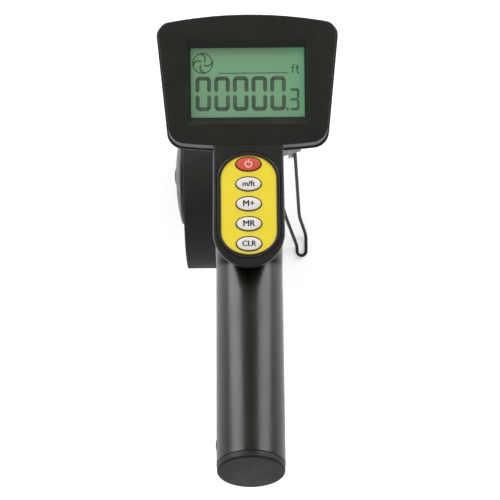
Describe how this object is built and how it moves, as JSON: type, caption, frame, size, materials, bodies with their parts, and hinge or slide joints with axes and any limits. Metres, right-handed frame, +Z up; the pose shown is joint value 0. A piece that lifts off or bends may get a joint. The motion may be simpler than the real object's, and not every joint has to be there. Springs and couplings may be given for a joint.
{
  "type": "distance measuring wheel",
  "caption": "Walking wheel that measures distance: tyred wheel, telescopic pole, pistol grip, display head with keypad, and folding wire stand.",
  "frame": {"origin": "on the floor, under the centre line of the pole, as the wheel stands parked on its tyre and wire stand", "axes": "+Z up the pole; -Y towards the user's grip; the wheel is on the -X side and the stand on the +X side"},
  "size_m": [0.1168, 0.2653, 0.6319],
  "materials": {
    "head_plastic": "satin black moulded plastic",
    "grip_plastic": "satin black moulded plastic",
    "body_plastic": "fine-textured black moulded plastic",
    "wheel_plastic": "satin black moulded plastic",
    "tyre_rubber": "matt black rubber",
    "nut_black": "black oxide",
    "steel": "bright zinc-plated",
    "bearing_steel": "ground",
    "zinc_plate": "zinc-plated sheet",
    "wire_coating": "black powder coat over wire",
    "tube_black": "black anodised",
    "tube_bright": "bright drawn",
    "circuit_board": "solder mask",
    "chip_black": "moulded",
    "lead_jacket": "matt cable jacket",
    "lever_yellow": "moulded yellow plastic",
    "magnet_nickel": "nickel-plated",
    "glide_white": "natural nylon",
    "cell_wrap": "printed cell jacket, no lettering",
    "window_clear": "clear acrylic",
    "lcd_green": "green backlit liquid-crystal panel",
    "panel_yellow": "printed overlay film",
    "mat_silicone": "silicone",
    "key_red": null,
    "key_white": null
  },
  "bodies": {
    "lower_frame": {"lower_tube": "tube_black", "sensor_housing": "body_plastic", "housing_cover": "body_plastic", "housing_screws": "steel", "axle": "steel", "axle_nut": "nut_black", "axle_washer": "steel", "axle_spacer": "steel", "axle_locknut": "steel", "sensor_board": "circuit_board", "hall_sensors": "chip_black", "sensor_lead": "lead_jacket", "stand_bracket": "zinc_plate", "bracket_screws": "steel", "lock_collar": "body_plastic", "collar_screw": "steel", "lever_pin": "steel"},
    "lock_lever": {"lock_lever": "lever_yellow"},
    "wheel": {"wheel_disc": "wheel_plastic", "tyre": "tyre_rubber", "hub_cover": "wheel_plastic", "wheel_bearings": "bearing_steel", "magnet_ring": "chip_black", "magnets": "magnet_nickel"},
    "stand": {"stand_wire": "wire_coating"},
    "handle": {"upper_tube": "tube_bright", "tube_glide": "glide_white", "body_left": "grip_plastic", "body_right": "grip_plastic", "body_screws": "steel", "grip_side_screw": "nut_black", "neck_screws": "steel", "strap_eye": "chip_black", "battery_tube": "glide_white", "batteries": "cell_wrap", "battery_spring": "steel", "head_front_shell": "head_plastic", "head_rear_shell": "head_plastic", "head_screws": "steel", "lcd_window": "window_clear", "lcd_module": "lcd_green", "main_board": "circuit_board", "keypad_rim": "head_plastic", "keypad_panel": "panel_yellow", "keypad_mat": "mat_silicone", "key_board": "circuit_board"},
    "battery_cap": {"battery_cap": "grip_plastic"},
    "key_power": {"key_power": "key_red"},
    "key_unit": {"key_unit": "key_white"},
    "key_save": {"key_save": "key_white"},
    "key_recall": {"key_recall": "key_white"},
    "key_clear": {"key_clear": "key_white"}
  },
  "joints": [
    {"name": "pole_slide", "type": "slide", "parent": "lower_frame", "child": "handle", "axis": [0, 0, 1], "range_m": [0, 0.29], "deforming": ["sensor_lead"]},
    {"name": "wheel_spin", "type": "hinge", "parent": "lower_frame", "child": "wheel", "pos_m": [-0.0395, 0, 0.0795], "axis": [1, 0, 0], "continuous": true},
    {"name": "stand_fold", "type": "hinge", "parent": "lower_frame", "child": "stand", "pos_m": [0.025, 0.017, 0.1224], "axis": [-1, 0, 0], "range_deg": [0, 110]},
    {"name": "lever_open", "type": "hinge", "parent": "lower_frame", "child": "lock_lever", "pos_m": [0.0055, 0.0205, 0.469], "axis": [0, 0, -1], "range_deg": [0, 80]},
    {"name": "cap_pull", "type": "slide", "parent": "handle", "child": "battery_cap", "axis": [0, -0.8192, 0.5736], "range_m": [0, 0.035]},
    {"name": "press_power", "type": "slide", "parent": "handle", "child": "key_power", "axis": [0, -0.1736, -0.9848], "range_m": [0, 0.0008], "stiffness_N_per_m": 600, "springref_m": -0.0004},
    {"name": "press_unit", "type": "slide", "parent": "handle", "child": "key_unit", "axis": [0, -0.1736, -0.9848], "range_m": [0, 0.0008], "stiffness_N_per_m": 600, "springref_m": -0.0004},
    {"name": "press_save", "type": "slide", "parent": "handle", "child": "key_save", "axis": [0, -0.1736, -0.9848], "range_m": [0, 0.0008], "stiffness_N_per_m": 600, "springref_m": -0.0004},
    {"name": "press_recall", "type": "slide", "parent": "handle", "child": "key_recall", "axis": [0, -0.1736, -0.9848], "range_m": [0, 0.0008], "stiffness_N_per_m": 600, "springref_m": -0.0004},
    {"name": "press_clear", "type": "slide", "parent": "handle", "child": "key_clear", "axis": [0, -0.1736, -0.9848], "range_m": [0, 0.0008], "stiffness_N_per_m": 600, "springref_m": -0.0004}
  ]
}
